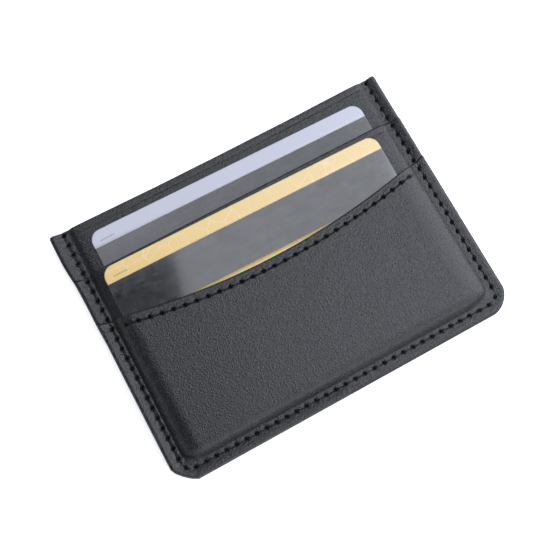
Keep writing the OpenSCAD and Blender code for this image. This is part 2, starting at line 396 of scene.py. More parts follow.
def rise(x, y, left=CREST_IN, right=CREST_IN, low=7.1):
    """How far a sheet has climbed from the seam (0) to the field over the cards (1)."""
    foot_x = HALF_W - SEAM_INSET - FOOT_INSET
    foot_y = SEAM_INSET + FOOT_INSET
    from_left = np.clip((foot_x + x) / (foot_x - left), 0, 1)
    from_right = np.clip((foot_x - x) / (foot_x - right), 0, 1)
    from_low = np.clip((y - foot_y) / (low - foot_y), 0, 1)
    to_side = 1 - np.minimum(from_left, from_right)
    t = np.clip(1 - np.hypot(to_side, 1 - from_low), 0, 1)
    return 1 - (1 - t) ** CLIMB_POWER


LEATHER_T = 0.8
MARGIN_LEATHER_T = 0.45
MARGIN_TOPS = {
    "body": reach("front_body_panel")[0] + MARGIN_LEATHER_T,
    "slot": reach("front_slot_panel")[0] + MARGIN_LEATHER_T,
    "pocket": reach("front_pocket")[0] + MARGIN_LEATHER_T,
}
SEAM_SQUEEZE = 0.34
BEAD_CREST = 1.05
SLOT_MOUTH = box_mm("front_slot_panel")[1][1] - BASE_Y


def squeezed(x, y):
    """Share of its height that each layer keeps where the closing seam pulls it down."""
    distance, _, _ = rim(x, y)
    mouth = pocket_edge(x)
    pocket_top, slot_top, body_top = (MARGIN_TOPS[layer] for layer in ("pocket", "slot", "body"))
    stack = pocket_top + (slot_top - pocket_top) * smooth(y - mouth + 0.5)
    stack = stack + (body_top - slot_top) * smooth(y - SLOT_MOUTH + 0.5)
    t = np.clip((distance - BEAD_CREST) / (SEAM_INSET - BEAD_CREST), 0, 1)
    valley = (0.5 * t + 0.5 * smooth(t)) * (1 - smooth((distance - SEAM_INSET - FOOT_INSET + 0.1) / 2.0))
    return 1 - SEAM_SQUEEZE / stack * valley


hem_low, hem_high = box_mm("front_mouth_needle_thread")
NEEDLE_R = 0.35
HEM_W = 2.5
HEM_REACH = hem_high[0] - NEEDLE_R
hem_sag = hem_high[1] - hem_low[1] - 2 * NEEDLE_R
HEM_R = (HEM_REACH**2 + hem_sag**2) / (2 * hem_sag)
MOUTH_R = HEM_R - HEM_W
MOUTH_Y = hem_low[1] + NEEDLE_R - BASE_Y + HEM_W


def slot_edge(x):
    return SLOT_MOUTH + 0 * x


def pocket_edge(x):
    return MOUTH_Y + MOUTH_R - np.sqrt(MOUTH_R**2 - x**2)


def lining_piece(node, side, mouth, under):
    """A lining: sheet of fabric on the inner face of its leather panel."""
    cols = both_edges(lines((0, 0.3, 0.3), (0.3, 2.7, 1.2), (2.7, 9.9, 0.6), (9.9, HALF_W, 2.6)))
    end = mouth(0.0) - LINING_SETBACK
    rows = lines((0, 5.5, 0.55), (5.5, 14, 1.2), (14, 19, 0.5), (19, end - 6, 2), (end - 6, end, 1))
    piece = sheet_piece(
        node + "_cloth",
        side,
        cols,
        rows,
        lambda x: mouth(x) - LINING_SETBACK,
        lambda x, y: (under(x, y) + LINING_T - LINING_SLACK) * squeezed(x, y),
        lambda x, y: under(x, y) * squeezed(x, y),
        (0.15, 0.15),
        1,
        LINING,
    )
    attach(piece, "holder")
    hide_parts(node)
    corner_loss = 2 * CORNER_R**2 * (1 - math.pi / 4)
    width = 2 * HALF_W
    heights = mouth(np.linspace(-HALF_W, HALF_W, 201)) - LINING_SETBACK
    float((heights.mean() * width - corner_loss) * MM * MM)
    return piece


for half, side in HALVES.items():
    margin, field = reach(f"{half}_body_lining")
    field_under = field - LINING_T
    lining_piece(
        f"{half}_body_lining",
        side,
        top_edge,
        lambda x, y, m=margin, f=field_under: m + (f - m) * rise(x, y),
    )

# ---------------------------------------------------------------------------
# Body panels: full-height pieces of smooth black leather, 0.8 mm thick and
# pared to 0.45 mm in the margins. The top edge is turned over and creased, and
# the cut edges are painted black.
# ---------------------------------------------------------------------------
SEAM_PITCH = 3.0
HEM_PITCH = 3.3
FOLD_W = 2.0

_, seam_high = box_mm("edge_seam_front_thread")
SEAM_X = seam_high[0] - NEEDLE_R
SEAM_START = seam_high[1] - NEEDLE_R - BASE_Y
SEAM_R = CORNER_R - SEAM_INSET


def closing_seam():
    """Needle holes of the closing seam as x, y and heading, from top left to top right."""
    side_run = SEAM_START - SEAM_INSET - SEAM_R
    arc_run = SEAM_R * math.pi / 2
    base_run = 2 * (SEAM_X - SEAM_R)
    total = 2 * (side_run + arc_run) + base_run
    count = round(total / SEAM_PITCH)
    holes = []
    for i in range(count + 1):
        s = total * i / count
        past = s - side_run
        if past <= 0:
            hole = (-SEAM_X, SEAM_START - s, -math.pi / 2)
        elif past <= arc_run:
            turn = past / SEAM_R
            hole = (
                -SEAM_X + SEAM_R * (1 - math.cos(turn)),
                SEAM_INSET + SEAM_R * (1 - math.sin(turn)),
                turn - math.pi / 2,
            )
        elif past <= arc_run + base_run:
            hole = (-SEAM_X + SEAM_R + past - arc_run, SEAM_INSET, 0.0)
        elif past <= 2 * arc_run + base_run:
            turn = (past - arc_run - base_run) / SEAM_R
            hole = (
                SEAM_X - SEAM_R * (1 - math.sin(turn)),
                SEAM_INSET + SEAM_R * (1 - math.cos(turn)),
                turn,
            )
        else:
            hole = (SEAM_X, SEAM_START - total + s, math.pi / 2)
        holes.append(hole)
    return np.array(holes)


def hem_seam():
    """Needle holes of a mouth's hem, from left to right."""
    swing = math.asin(HEM_REACH / HEM_R)
    count = round(2 * swing * HEM_R / HEM_PITCH)
    turn = swing * (2 * np.arange(count + 1) / count - 1)
    return np.stack(
        [HEM_R * np.sin(turn), MOUTH_Y - HEM_W + HEM_R * (1 - np.cos(turn)), turn], axis=1
    )


EDGE_HOLES = closing_seam()
HEM_HOLES = hem_seam()
HOLE_LENGTH = 0.56
HOLE_WIDTH = 0.42
HOLE_DEPTH = 0.6
HOLE_SLANT = math.radians(-33)
HOLE_OFFSET = 0.14
GROOVE_DEPTH = 0.08
PUCKER = 0.1
GROOVE_W = 0.17
PUCKER_IN = 0.75
PUCKER_W = 0.4
BEAD_DROP = 0.42
BEAD_SWELL = 0.24
SWELL_CHANGES = {"upper left": 2.4, "upper right": 0.7, "lower right": 1.3}


def bead_swell(x, y):
    """How far the margin swells beside the seam: most at the upper left, least at the lower right."""
    upper_left = smooth((y - 56) / 8) * (x < 0) * SWELL_CHANGES["upper left"]
    upper_right = smooth((y - pocket_edge(x)) / 4) * (x > 0) * SWELL_CHANGES["upper right"]
    lower_right = smooth((pocket_edge(x) - 1 - y) / 4) * (x > 0) * SWELL_CHANGES["lower right"]
    return BEAD_SWELL * (1 + upper_left + upper_right - lower_right)


def along_seam(x, y, holes):
    """Distance along and across the seam from the nearest hole, left side positive."""
    nearest = np.full(x.shape, 1e9)
    along = np.full(x.shape, 1e9)
    across = np.full(x.shape, 1e9)
    for hole_x, hole_y, heading in holes:
        dx, dy = x - hole_x, y - hole_y
        distance = np.hypot(dx, dy)
        closer = distance < nearest
        nearest = np.where(closer, distance, nearest)
        along = np.where(closer, dx * math.cos(heading) + dy * math.sin(heading), along)
        across = np.where(closer, dy * math.cos(heading) - dx * math.sin(heading), across)
    return along, across


def needle_pit(along, across):
    inward = across - HOLE_OFFSET
    a = along * math.cos(HOLE_SLANT) + inward * math.sin(HOLE_SLANT)
    b = inward * math.cos(HOLE_SLANT) - along * math.sin(HOLE_SLANT)
    return np.exp(-((a / HOLE_LENGTH) ** 4) - (b / HOLE_WIDTH) ** 4)


def seam_relief(x, y, holes, pitch):
    """How the pulled-in thread shapes the leather: pits, a groove and puckers."""
    along, across = along_seam(x, y, holes)
    pit = needle_pit(along, across)
    beside = np.abs(along) < 0.7 * pitch
    groove = bump(across / GROOVE_W) * beside
    wave = 0.5 - 0.5 * np.cos(2 * math.pi * along / pitch)
    pucker = (0.25 + 0.75 * wave) * bump((across - PUCKER_IN) / PUCKER_W) * beside
    pucker = pucker + 0.35 * (wave - 0.5) * bump((across + 1.0) / 0.5) * beside
    return -HOLE_DEPTH * pit - GROOVE_DEPTH * groove * (1 - pit) + PUCKER * pucker


# Where the needle holes are: this mask carries the painted shade in the leather's colour.
def pit_shade_mask(x, y, holes):
    along, across = along_seam(x, y, holes)
    return needle_pit(along, across)


RIPPLE_HEIGHT = 0.012


def ripple(x, y, shift):
    """Slow unevenness of leather, about 0.03 mm either way."""
    return RIPPLE_HEIGHT * (
        np.sin(x / 5.3 + shift)
        + np.sin(y / 6.1 - 1.7 * shift)
        + np.sin((x + 1.4 * y) / 9.7 + 2.3 * shift)
    )


def black_leather():
    """Smooth full-grain leather, dyed black and lightly waxed, with painted edges; the needle holes carry
    painted shade.
    """
    finish = Finish("black_leather")
    pit = finish.mark("pit")
    edge = finish.mark("edge")
    pebbles = finish.cells(0.46, "SMOOTH_F1")
    creases = finish.cells(0.7, "DISTANCE_TO_EDGE")
    pores = finish.noise(0.22, 2.0)
    mottle = finish.noise(9.0, 4.0, 0.6)
    wear = finish.noise(2.2, 5.0, 0.65)
    tone = (mottle * 0.7 + wear * 0.3) * 1.6 - 0.3
    dyed = finish.blend(tone.clamped(), (0.0050, 0.0055, 0.0068), (0.0090, 0.0098, 0.0118))
    speckle = ((finish.noise(0.42, 3.0, 0.7) - 0.5) * 3.4).clamped()
    dyed = finish.blend(speckle, dyed, (0.044, 0.047, 0.053))
    painted = finish.blend((edge * 1.4).clamped(), dyed, (0.0045, 0.0048, 0.0056))
    # Painted shade: the needle holes are coloured near black, standing in for the shadow inside them.
    colour = finish.blend((pit * 1.1).clamped(), painted, (0.0012, 0.0012, 0.0014))
    grain = pebbles * 0.55 + (creases * 3.0).clamped() * 0.35 + pores * 0.35 + wear * 0.25
    roughness = 0.20 + wear * 0.12 + pores * 0.05 + edge * 0.3 + pit * 0.5
    return finish.surface(
        Base_Color=colour,
        Roughness=roughness.clamped(),
        # Painted shade: the needle holes are fully metallic on their near-black colour, so they reflect
        # nothing, in place of the holes' own shadow.
        Metallic=pit.clamped(),
        Specular_IOR_Level=0.58,
        Normal=finish.bumps(grain, 0.16, 1.0),
    )


LEATHER = black_leather()


def shown_between(low_edge, high_edge):
    """1 where a panel is not covered: above low_edge and below high_edge."""

    def shown(x, y):
        seen = np.ones(x.shape)
        if low_edge is not None:
            seen = seen * smooth((y - low_edge(x) + 0.1) / 0.5)
        if high_edge is not None:
            seen = seen * (y < high_edge(x))
        return seen

    return shown


ARRIS_DROP, ARRIS_W = 0.1, 0.2
TURN_DROP, TURN_W = 0.26, 0.5
FOLD_RISE, CREASE_DEPTH, CREASE_W = 0.08, 0.13, 0.2
PAINT_W = 0.45
LEAST_T = 0.04


def panel_piece(
    name, side, cols, rows, mouth, shown, base, fold, extra, tuck, coarse, seams=(EDGE_HOLES,)
):
    """A leather panel. base gives its underside, topside and how far it has risen."""

    def top(x, y):
        _, upper, _ = base(x, y)
        distance, _, _ = rim(x, y)
        in_from_mouth = mouth(x) - y
        seen = shown(x, y)
        outer = np.clip(1 - distance / BEAD_CREST, 0, 1) ** 2
        inner = np.clip((SEAM_INSET - distance) / (SEAM_INSET - BEAD_CREST), 0, 1)
        bead = (BEAD_DROP * outer - bead_swell(x, y) * inner) * seen
        arris = ARRIS_DROP * np.clip(1 - distance / ARRIS_W, 0, 1) ** 2
        turned = TURN_DROP * np.clip(1 - in_from_mouth / TURN_W, 0, 1) ** 2
        folded = FOLD_RISE * smooth((fold - in_from_mouth) / 0.4)
        folded = folded - CREASE_DEPTH * bump((in_from_mouth - fold) / CREASE_W)
        relief = seam_relief(x, y, EDGE_HOLES, SEAM_PITCH)
        shaped = upper * squeezed(x, y) - bead - arris - turned + (folded + relief + extra(x, y)) * seen
        return np.maximum(shaped, under(x, y) + LEAST_T)

    def under(x, y):
        lower, _, _ = base(x, y)
        return lower * squeezed(x, y)

    # The pit mark carries painted shade: it darkens the needle holes in the leather's colour.
    def pit(x, y):
        return np.maximum.reduce([pit_shade_mask(x, y, holes) for holes in seams]) * shown(x, y)

    def edge(x, y):
        distance, _, _ = rim(x, y)
        return np.clip(1 - distance / PAINT_W, 0, 1)

    piece = sheet_piece(
        name, side, cols, rows, mouth, top, under, tuck, coarse, LEATHER, (("pit", pit), ("edge", edge))
    )
    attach(piece, "holder")
    return piece


EDGE_LINES = lines((0, 0.2, 0.05), (0.2, 0.5, 0.1), (0.5, 2.1, 0.25), (2.1, 4.2, 0.14), (4.2, 6, 0.3))
CORNER_LINES = CORNER_R * (1 - np.cos(np.radians(np.arange(0, 91, 6))))


def panel_columns(middle):
    return both_edges(np.concatenate([EDGE_LINES, lines((6, 10, 0.6), (10, HALF_W, middle))[1:]]))


def panel_rows(mouth_y, fine_from, fine, coarse=1.5):
    """Rows that are coarse where other panels cover the leather, and fine above that."""
    plain = lines(
        (CORNER_R, max(CORNER_R + 0.1, fine_from), coarse),
        (max(CORNER_R + 0.1, fine_from), mouth_y - 3.2, fine),
        (mouth_y - 3.2, mouth_y - 0.5, 0.2),
        (mouth_y - 0.5, mouth_y, 0.08),
    )
    merged = np.unique(np.round(np.concatenate([CORNER_LINES, plain]), 4))
    return merged[np.concatenate([[True], np.diff(merged) > 0.02])]


SEAM_STEP = SEAM_PITCH / 11

for half, side in HALVES.items():
    margin, field = reach(f"{half}_body_panel")

    def body_base(x, y, margin=margin, field=field):
        climb = rise(x, y)
        lower = margin + (field - LEATHER_T - margin) * climb
        return lower, lower + MARGIN_LEATHER_T + (LEATHER_T - MARGIN_LEATHER_T) * climb, climb

    def body_extra(x, y, side=side):
        near_fold = smooth((FOLD_W + 0.3 - top_edge(x) + y) / 0.5)
        sway = 0.05 * np.sin(x / 7.1 + side) + 0.035 * np.sin(x / 3.3 - 2 * side)
        return sway * near_fold + ripple(x, y, 1.0 + side)

    panel = panel_piece(
        f"{half}_body_leather",
        side,
        panel_columns(1.0),
        panel_rows(top_edge(0.0), SLOT_MOUTH - 1.5, SEAM_STEP),
        top_edge,
        shown_between(slot_edge, None),
        body_base,
        FOLD_W,
        body_extra,
        (0.06, 0.0),
        4,
    )
    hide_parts(f"{half}_body_panel")

# ---------------------------------------------------------------------------
# Slot panels and their linings: the leather that makes the upper card slot. It
# runs down to the bottom seam and is stitched to the body panel below the card,
# so that the card stands 11 mm above the one in the pocket.
# ---------------------------------------------------------------------------
stop_low, stop_high = box_mm("front_stop_needle_thread")
STOP_Y = (stop_low[1] + stop_high[1]) / 2 - BASE_Y
STOP_CLIMB = (STOP_Y + 1.2, STOP_Y + 3.4)


def slot_field(y, step, field):
    """Height of the field: against the body panel below the stop seam, over the card above."""
    low, high = STOP_CLIMB
    return step + (field - step) * smooth((y - low) / (high - low))


PULL_HEIGHT = 0.5
PULL_PLACE = (-47.9, 50.6)
PULL_SPREAD = (1.5, 3.0)


def slot_pull(x, y):
    """The ridge that the pocket's mouth pulls up in the slot panel, at its left end."""
    along, up = (x - PULL_PLACE[0]) / PULL_SPREAD[0], (y - PULL_PLACE[1]) / PULL_SPREAD[1]
    return PULL_HEIGHT * bump(along) * bump(up)


for half, side in HALVES.items():
    margin, field = reach(f"{half}_slot_lining")
    step = reach(f"{half}_body_panel")[1]

    def slot_under(x, y, margin=margin, field=field, step=step):
        return margin + (slot_field(y, step, field - LINING_T) - margin) * rise(x, y)

    lining_piece(f"{half}_slot_lining", side, slot_edge, slot_under)

    def slot_base(x, y, under=slot_under):
        climb = rise(x, y)
        lower = under(x, y) + LINING_T
        return lower, lower + MARGIN_LEATHER_T + (LEATHER_T - MARGIN_LEATHER_T) * climb, climb

    panel = panel_piece(
        f"{half}_slot_leather",
        side,
        panel_columns(1.0),
        panel_rows(SLOT_MOUTH, MOUTH_Y - 2, SEAM_STEP),
        slot_edge,
        shown_between(pocket_edge, slot_edge),
        slot_base,
        FOLD_W,
        lambda x, y, side=side: ripple(x, y, 2.5 + side) + (side > 0) * slot_pull(x, y),
        (0.14, 0.07),
        4,
    )
    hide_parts(f"{half}_slot_panel")

# ---------------------------------------------------------------------------
# Pockets and their linings: the outer leather, with a shallow curved mouth that
# is turned over and stitched. It bulges over the card behind it and is pulled
# flat into the closing seam at both sides and the bottom.
# ---------------------------------------------------------------------------
POCKET_CRESTS = {
    "front": {"left": 41.0, "right": 39.5, "low": 8.4},
    "rear": {"left": CREST_IN, "right": CREST_IN, "low": 7.1},
}
POCKET_DOME = {"front": 0.2, "rear": 0.0}
POCKET_RIPPLE = {"front": 1.0, "rear": 0.3}
DOME_HALF_W = 44.0
DOME_MIDDLE = 24.0
DOME_HALF_H = 22.0


def dome(x, y, height):
    """How far the full pocket bulges over the cards."""
    across = np.clip(1 - (x / DOME_HALF_W) ** 4, 0, 1)
    return height * across * np.clip(1 - ((y - DOME_MIDDLE) / DOME_HALF_H) ** 4, 0, 1)


for half, side in HALVES.items():
    margin, field = reach(f"{half}_pocket_lining")
    crests = POCKET_CRESTS[half]

    def pocket_under(x, y, margin=margin, field=field, crests=crests, height=POCKET_DOME[half]):
        return margin + (field - LINING_T - margin) * rise(x, y, **crests) + dome(x, y, height)

    lining_piece(f"{half}_pocket_lining", side, pocket_edge, pocket_under)

    def pocket_base(x, y, under=pocket_under, crests=crests):
        climb = rise(x, y, **crests)
        lower = under(x, y) + LINING_T
        return lower, lower + MARGIN_LEATHER_T + (LEATHER_T - MARGIN_LEATHER_T) * climb, climb

    def pocket_extra(x, y, side=side, amount=POCKET_RIPPLE[half]):
        hem = seam_relief(x, y, HEM_HOLES, HEM_PITCH) * (np.abs(x) < HEM_REACH + 1.2)
        return hem + (ripple(x, y, 4.0 + side) - 0.03) * amount

    panel = panel_piece(
        f"{half}_pocket_leather",
        side,
        panel_columns(HEM_PITCH / 11),
        np.unique(
            np.round(
                np.concatenate(
                    [panel_rows(MOUTH_Y, CORNER_R, SEAM_STEP, SEAM_STEP), lines((2.1, 4.2, 0.16))]
                ),
                3,
            )
        ),
        pocket_edge,
        shown_between(None, None),
        pocket_base,
        HEM_W,
        pocket_extra,
        (0.3, 0.16),
        4,
        (EDGE_HOLES, HEM_HOLES),
    )
    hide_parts(f"{half}_pocket")

# ---------------------------------------------------------------------------
# Sewing threads: black waxed polyester, two strands twisted together. Each seam
# has an outer thread, pulled down into the needle holes, and an inner one.
# ---------------------------------------------------------------------------
THREAD_R = 0.12
STOP_REACH = stop_high[0] - NEEDLE_R


def waxed_thread():
    finish = Finish("waxed_thread")
    fibre = finish.noise(0.08, 3.0, 0.6, (1, 1, 1))
    return finish.surface(
        Base_Color=finish.blend(fibre, (0.002, 0.002, 0.0022), (0.008, 0.008, 0.009)),
        Roughness=0.6 + fibre * 0.25,
        Specular_IOR_Level=0.25,
        Normal=finish.bumps(fibre, 0.02, 0.7),
    )


THREAD = waxed_thread()


def stitch_tree():
    """Geometry nodes that lay one twisted stitch on each point of a seam."""
    tree = bpy.data.node_groups.new("stitches", "GeometryNodeTree")
    tree.interface.new_socket("Seam", in_out="INPUT", socket_type="NodeSocketGeometry")
    for name in ("Thread radius", "Arch", "Dive", "Twists"):
        tree.interface.new_socket(name, in_out="INPUT", socket_type="NodeSocketFloat")
    tree.interface.new_socket("Material", in_out="INPUT", socket_type="NodeSocketMaterial")
    tree.interface.new_socket("Stitches", in_out="OUTPUT", socket_type="NodeSocketGeometry")

    def node(kind, settings=None, sockets=None):
        return add_node(tree, kind, settings, sockets)

    def calc(operation, *values):
        return node("ShaderNodeMath", {"operation": operation}, dict(enumerate(values))).outputs[0]

    given = node("NodeGroupInput").outputs
    factor = node("GeometryNodeSplineParameter").outputs["Factor"]
    from_middle = calc("ABSOLUTE", calc("MULTIPLY_ADD", factor, 2.0, -1.0))
    arch = calc("MULTIPLY", given["Arch"], calc("SUBTRACT", 1.0, calc("POWER", from_middle, 2.0)))
    dive = calc("MULTIPLY", given["Dive"], calc("POWER", from_middle, 7.0))
    height = calc("SUBTRACT", arch, dive)
    strand_r = calc("MULTIPLY", given["Thread radius"], 0.56)
    swing_r = calc("MULTIPLY", given["Thread radius"], 0.46)
    strands = node("GeometryNodeJoinGeometry")
    for phase in (0.0, math.pi):
        line = node("GeometryNodeCurvePrimitiveLine", None, {"Start": (-0.5, 0, 0), "End": (0.5, 0, 0)})
        steps = node("GeometryNodeResampleCurve", None, {"Curve": line.outputs[0], "Count": 15})
        turn = calc("MULTIPLY_ADD", calc("MULTIPLY", factor, given["Twists"]), 2 * math.pi, phase)
        offset = node(
            "ShaderNodeCombineXYZ",
            None,
            {
                "Y": calc("MULTIPLY", swing_r, calc("COSINE", turn)),
                "Z": calc("ADD", height, calc("MULTIPLY", swing_r, calc("SINE", turn))),
            },
        )
        bent = node(
            "GeometryNodeSetPosition", None, {"Geometry": steps.outputs[0], "Offset": offset.outputs[0]}
        )
        ring = node("GeometryNodeCurvePrimitiveCircle", None, {"Resolution": 6, "Radius": strand_r})
        tube = node(
            "GeometryNodeCurveToMesh",
            None,
            {"Curve": bent.outputs[0], "Profile Curve": ring.outputs[0], "Fill Caps": True},
        )
        tree.links.new(tube.outputs[0], strands.inputs[0])
    points = node("GeometryNodeMeshToPoints", None, {"Mesh": given["Seam"]})
    turn_mark = node("GeometryNodeInputNamedAttribute", {"data_type": "FLOAT_VECTOR"}, {"Name": "turn"})
    span_mark = node("GeometryNodeInputNamedAttribute", {"data_type": "FLOAT_VECTOR"}, {"Name": "span"})
    rotation = node("FunctionNodeEulerToRotation", None, {0: turn_mark.outputs[0]})
    placed = node(
        "GeometryNodeInstanceOnPoints",
        None,
        {
            "Points": points.outputs[0],
            "Instance": strands.outputs[0],
            "Rotation": rotation.outputs[0],
            "Scale": span_mark.outputs[0],
        },
    )
    real = node("GeometryNodeRealizeInstances", None, {0: placed.outputs[0]})
    dressed = node(
        "GeometryNodeSetMaterial", None, {"Geometry": real.outputs[0], "Material": given["Material"]}
    )
    result = node("NodeGroupOutput")
    tree.links.new(dressed.outputs[0], result.inputs[0])
    return tree


STITCHES = stitch_tree()


def thread_piece(node_name, side, holes, levels, radius, arch, dive, outward=1):
    """A seam's thread: one stitch between each two holes, at the height of its ends."""
    places = np.column_stack([*tucked(holes[:, 0], holes[:, 1], 0.0), levels])
    starts, ends = places[:-1], places[1:]
    middles, runs = (starts + ends) / 2, ends - starts
    spans = np.linalg.norm(runs, axis=1)
    heading = np.arctan2(runs[:, 1], runs[:, 0])
    slope = -np.arcsin(runs[:, 2] / spans)
    mesh = bpy.data.meshes.new(node_name + "_points")
    mesh.from_pydata(middles.tolist(), [], [])
    flip = np.full(len(spans), 0.0 if outward > 0 else math.pi)
    for mark, rows in (("turn", (flip, slope, heading)), ("span", (spans, spans**0, spans**0))):
        attribute = mesh.attributes.new(mark, "FLOAT_VECTOR", "POINT")
        attribute.data.foreach_set("vector", np.column_stack(rows).astype(np.float32).ravel())
    seam = show(node_name + "_points", mesh)
    modifier = seam.modifiers.new("stitches", "NODES")
    modifier.node_group = STITCHES
    values = {"Thread radius": radius, "Arch": arch, "Dive": dive, "Twists": 2.5, "Material": THREAD}
    for item in STITCHES.interface.items_tree:
        if item.in_out == "INPUT" and item.name in values:
            modifier[item.identifier] = values[item.name]
    bpy.context.view_layer.update()
    evaluated = seam.evaluated_get(bpy.context.evaluated_depsgraph_get())
    plain = bpy.data.meshes.new_from_object(evaluated)
    bpy.data.objects.remove(seam)
    scale = Matrix.Diagonal((MM, MM, side * MM, 1))
    shift = Matrix.Translation((0, BASE_Y * MM, PARTING_Z * MM))
    plain.transform(shift @ scale)
    if side < 0:
        plain.flip_normals()
    plain.polygons.foreach_set("use_smooth", [True] * len(plain.polygons))
    plain.name = node_name + "_strands"
    piece = show(node_name + "_strands", plain)
    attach(piece, "holder")
    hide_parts(node_name)
    return piece


def layers_at(holes):
    """How many leather layers the margin has at each hole."""
    x, y = holes[:, 0], holes[:, 1]
    return np.where(y > SLOT_MOUTH, 1, np.where(y > pocket_edge(x), 2, 3))


stop_count = round(2 * STOP_REACH / HEM_PITCH)
STOP_HOLES = np.array(
    [(STOP_REACH * (2 * i / stop_count - 1), STOP_Y, 0.0) for i in range(stop_count + 1)]
)
LAYER_T = LINING_T + MARGIN_LEATHER_T
FINE_R = 0.07
EDGE_SINK = 0.44
HEM_SINK = 0.16

for half, side in HALVES.items():
    edge_levels = layers_at(EDGE_HOLES) * LAYER_T - EDGE_SINK
    thread_piece(f"edge_seam_{half}_thread", side, EDGE_HOLES, edge_levels, THREAD_R, 0.04, 0.25)
    swell = dome(HEM_HOLES[:, 0], HEM_HOLES[:, 1], POCKET_DOME[half])
    hem_levels = reach(f"{half}_pocket")[1] + swell - HEM_SINK
    thread_piece(f"{half}_mouth_needle_thread", side, HEM_HOLES, hem_levels, THREAD_R, 0.05, 0.4)
    lining_face = reach(f"{half}_pocket_lining")[1] - LINING_T
    thread_piece(
        f"{half}_mouth_bobbin_thread", side, HEM_HOLES, lining_face + swell + FINE_R, FINE_R, 0.0, 0.3, -1
    )
    stop_face = reach(f"{half}_body_panel")[1]
    stop_levels = np.full(len(STOP_HOLES), stop_face + LINING_T + LEATHER_T)
    thread_piece(f"{half}_stop_needle_thread", side, STOP_HOLES, stop_levels, THREAD_R, 0.06, 0.45)
    thread_piece(
        f"{half}_stop_bobbin_thread",
        side,
        STOP_HOLES,
        stop_levels - LINING_T - 2 * LEATHER_T + FINE_R,
        FINE_R,
        0.0,
        0.3,
        -1,
    )

# ---------------------------------------------------------------------------
# Bank cards: laminated plastic, 0.76 mm thick with polished, slightly rounded
# edges. They stand back side up, with the magnetic stripe let into the face.
# ---------------------------------------------------------------------------
CARD_W = 85.6
CARD_H = 53.98
CARD_T = 0.76
CARD_R = 3.18
CARD_LEAN = math.radians(0.75)
INLAY_T = 0.1
INLAY_SEAT = 0.004
INLAY_SOFT = 0.012
INLAY_SOFT_W = 0.04
CONTACT_GROOVE = 0.03
CONTACT_GROOVE_W = 0.12
CONTACT_STEP = 0.15
STRIPE_ENDS = np.array([0, 0.03, 0.06, 0.1, 0.14, 0.18, 0.25])
CARD_ROUND = 0.16
CARD_EDGE = lines((0, CARD_ROUND, 0.04), (CARD_ROUND, 0.4, 0.12))


def card_half_width(y):
    low = np.clip(np.maximum(CARD_R - y, y - CARD_H + CARD_R), 0, CARD_R)
    return CARD_W / 2 - CARD_R + np.sqrt(CARD_R**2 - low**2)


def card_rim(x, y):
    across = np.abs(x) - CARD_W / 2 + CARD_R
    up = np.maximum(CARD_R - y, y - CARD_H + CARD_R)
    in_corner = (across > 0) & (up > 0)
    flat = np.minimum(CARD_W / 2 - np.abs(x), np.minimum(y, CARD_H - y))
    return np.where(in_corner, CARD_R - np.hypot(across, up), flat)


def rounded_off(x, y):
    """How far a card's face drops at its rounded edge."""
    return CARD_ROUND * np.clip(1 - card_rim(x, y) / CARD_ROUND, 0, 1) ** 2


def inlay_box(node, card):
    """An inlay's outline on its card: left, right, bottom and top."""
    card_low, card_high = box_mm(card)
    low, high = box_mm(node)
    middle = (low + high) / 2 - (card_low + card_high) / 2
    spread = high - low
    c, s = math.cos(CARD_LEAN), math.sin(CARD_LEAN)
    width = (spread[0] * c - spread[1] * s) / (c * c - s * s)
    height = (spread[1] * c - spread[0] * s) / (c * c - s * s)
    x = middle[0] * c - middle[1] * s
    y = middle[1] * c + middle[0] * s + CARD_H / 2
    return x - width / 2, x + width / 2, y - height / 2, y + height / 2


def on_card(card, points):
    """Turns and moves points drawn on a card to where the card stands."""
    low, high = box_mm(card)
    middle = (low + high) / 2
    c, s = math.cos(CARD_LEAN), math.sin(CARD_LEAN)
    x, y = points[:, 0], points[:, 1] - CARD_H / 2
    placed = [x * c + y * s + middle[0], y * c - x * s + middle[1], points[:, 2] + low[2]]
    return np.stack(placed, axis=1) * MM


def plate(name, card, cols, rows, squeeze, top, under, material):
    """A closed plate on a card between two height functions."""
    u, y = np.meshgrid(cols, rows)
    x = squeeze(u, y)
    grids = [np.stack([x, y, z(x, y)], axis=-1).reshape(-1, 3) for z in (top, under)]
    every_row, every_col = np.arange(len(rows)), np.arange(len(cols))
    faces = shell_faces(len(rows), len(cols), every_row, every_col, False)
    return mesh_object(name, on_card(card, np.concatenate(grids)), faces, material)


def recess(box, x, y):
    left, right, low, high = box
    return ((x > left) & (x < right) & (y > low) & (y < high)) * INLAY_T


def seat_lines(low, high):
    return np.array([low - INLAY_SEAT, low + INLAY_SEAT, high - INLAY_SEAT, high + INLAY_SEAT])


FOIL_W = 86.0
DASH_H = 0.44
DASH_RUN = 4.1
DASH_PITCH = 0.62


